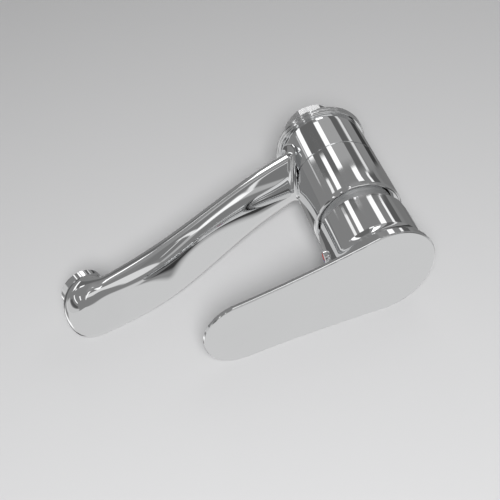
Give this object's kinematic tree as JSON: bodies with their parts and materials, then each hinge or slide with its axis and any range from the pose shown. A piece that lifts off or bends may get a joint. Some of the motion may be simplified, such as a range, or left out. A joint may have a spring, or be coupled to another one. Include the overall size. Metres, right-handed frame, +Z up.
{
  "type": "basin mixer tap",
  "caption": "Single lever basin mixer tap with a cast arm, flat lever plate on a round skirt, ceramic disc cartridge and aerator.",
  "frame": {"origin": "centre of the base ring's underside, on the deck and on the body's axis", "axes": "+X along the arm towards the outlet, +Z up the body, +Y to the user's right when facing the arm from the basin"},
  "size_m": [0.1842, 0.0527, 0.1343],
  "materials": {
    "chrome_casting": "bright polished chrome plate",
    "chrome_ring": "bright polished chrome plate",
    "chrome_cover": "bright polished chrome plate",
    "chrome_handle": "bright polished chrome plate",
    "chrome_bezel": "bright polished chrome plate",
    "chrome_aerator": "bright polished chrome plate",
    "brushed_boss": "nickel plated, machined flats",
    "black_rubber": "matt moulded rubber",
    "white_plastic": "moulded plastic",
    "grey_plastic": "moulded plastic",
    "screen_plastic": "moulded plastic",
    "ceramic": "lapped ceramic",
    "steel_pin": "turned steel",
    "steel_screw": "stainless steel",
    "brass_nut": "machined brass",
    "index_colours": "gloss insert, red on the hot side and blue on the cold side"
  },
  "bodies": {
    "tap_body": {"body_and_spout": "chrome_casting", "base_ring": "chrome_ring", "base_seal": "black_rubber", "base_ring_o_ring": "black_rubber", "mounting_boss": "brushed_boss", "cartridge_base": "white_plastic", "inlet_port_seals": "black_rubber", "outlet_port_seal": "black_rubber", "disc_seal": "black_rubber", "fixed_ceramic_disc": "ceramic", "cartridge_housing": "white_plastic", "retaining_nut": "brass_nut", "cover_ring_o_ring": "black_rubber", "cover_ring": "chrome_cover", "aerator_shell": "chrome_aerator", "aerator_washer": "black_rubber", "aerator_insert": "grey_plastic", "aerator_screen": "screen_plastic"},
    "swivel": {"stem_guide": "grey_plastic", "guide_o_ring": "black_rubber", "pivot_pin": "steel_pin"},
    "lever": {"handle": "chrome_handle", "stem": "steel_pin", "grub_screw": "steel_screw", "index_bezel": "chrome_bezel", "index_insert": "index_colours"},
    "disc": {"disc_carrier": "grey_plastic", "moving_ceramic_disc": "ceramic"}
  },
  "joints": [
    {"name": "temperature_turn", "type": "hinge", "parent": "tap_body", "child": "swivel", "pos_m": [0, 0, 0.069], "axis": [0, 0, 1], "range_deg": [-45, 45]},
    {"name": "lever_lift", "type": "hinge", "parent": "swivel", "child": "lever", "pos_m": [0, 0, 0.069], "axis": [0, -1, 0], "range_deg": [0, 18]},
    {"name": "disc_slide", "type": "slide", "parent": "swivel", "child": "disc", "axis": [1, 0, 0], "range_m": [0, 0.00425]}
  ],
  "couplings": [
    {"joint": "disc_slide", "follows": "lever_lift", "m_per_rad": 0.013279}
  ]
}
